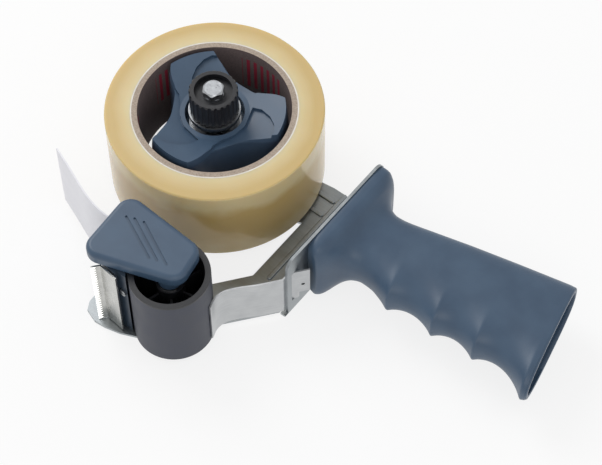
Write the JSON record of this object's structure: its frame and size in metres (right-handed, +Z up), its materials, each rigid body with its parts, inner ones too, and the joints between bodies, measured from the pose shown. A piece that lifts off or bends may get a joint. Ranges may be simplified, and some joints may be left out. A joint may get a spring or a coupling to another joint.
{
  "type": "packing tape dispenser",
  "caption": "Hand held packing tape dispenser lying on its side: steel frame, swirl hub with a roll of tape, guide roller, serrated blade, flap and hollow grip.",
  "frame": {"origin": "bottom centre of the overall bounding box, with the dispenser lying on its frame plate", "axes": "+X from the roll towards the butt of the grip, +Y along the handle wall away from the roller, +Z up along the spindle"},
  "size_m": [0.2628, 0.164, 0.0692],
  "materials": {
    "frame_steel": "satin zinc grey sheet",
    "leaf_steel": "bright spring steel",
    "bright_zinc": "bright zinc plate",
    "blue_plastic": "satin blue grey moulding",
    "dark_blue_plastic": "satin dark blue grey moulding",
    "black_plastic": "satin black moulding",
    "roller_skin": "dark grey rubber",
    "bushing_bronze": "sintered bronze",
    "felt": "pressed fibre",
    "core_board": "wound board",
    "wrap_paper": "pale paper",
    "tape_film": "clear tan film",
    "blade_steel": "polished steel",
    "flap_sheet": "white flexible sheet"
  },
  "bodies": {
    "chassis": {"frame": "frame_steel", "bracket_screws": "bright_zinc", "spindle_bolt": "bright_zinc", "head_washer": "bright_zinc", "thrust_washer": "bright_zinc", "spindle_sleeve": "bright_zinc", "lock_nut": "bright_zinc", "pressure_plate": "bright_zinc", "brake_spring": "leaf_steel", "spring_cup": "bright_zinc", "roller_axle": "bright_zinc", "roller_washer": "bright_zinc", "roller_clip": "leaf_steel", "roller_leaf": "leaf_steel", "head_bracket": "dark_blue_plastic", "guard_cap": "blue_plastic", "blade": "blade_steel", "clamp_bolt": "bright_zinc", "flap": "flap_sheet", "flap_clamp": "dark_blue_plastic", "flap_rivets": "bright_zinc", "handle": "blue_plastic", "handle_screws": "bright_zinc"},
    "hub": {"hub": "blue_plastic", "friction_disc": "felt"},
    "roll": {"tape_core": "core_board", "core_wrap": "wrap_paper", "tape": "tape_film"},
    "roller": {"roller_sleeve": "roller_skin", "roller_body": "black_plastic", "roller_bushings": "bushing_bronze"},
    "knob": {"knob": "black_plastic", "knob_insert": "bushing_bronze"}
  },
  "joints": [
    {"name": "hub_spin", "type": "hinge", "parent": "chassis", "child": "hub", "pos_m": [-0.07636, 0.027, 0.025], "axis": [0, 0, 1], "continuous": true},
    {"name": "roll_lift", "type": "slide", "parent": "hub", "child": "roll", "axis": [0, 0, 1], "range_m": [0, 0.06]},
    {"name": "roller_spin", "type": "hinge", "parent": "chassis", "child": "roller", "pos_m": [-0.03286, -0.0598, 0.025], "axis": [0, 0, 1], "continuous": true},
    {"name": "knob_turn", "type": "hinge", "parent": "chassis", "child": "knob", "pos_m": [-0.07636, 0.027, 0.06], "axis": [0, 0, 1], "range_deg": [-180, 180]}
  ]
}
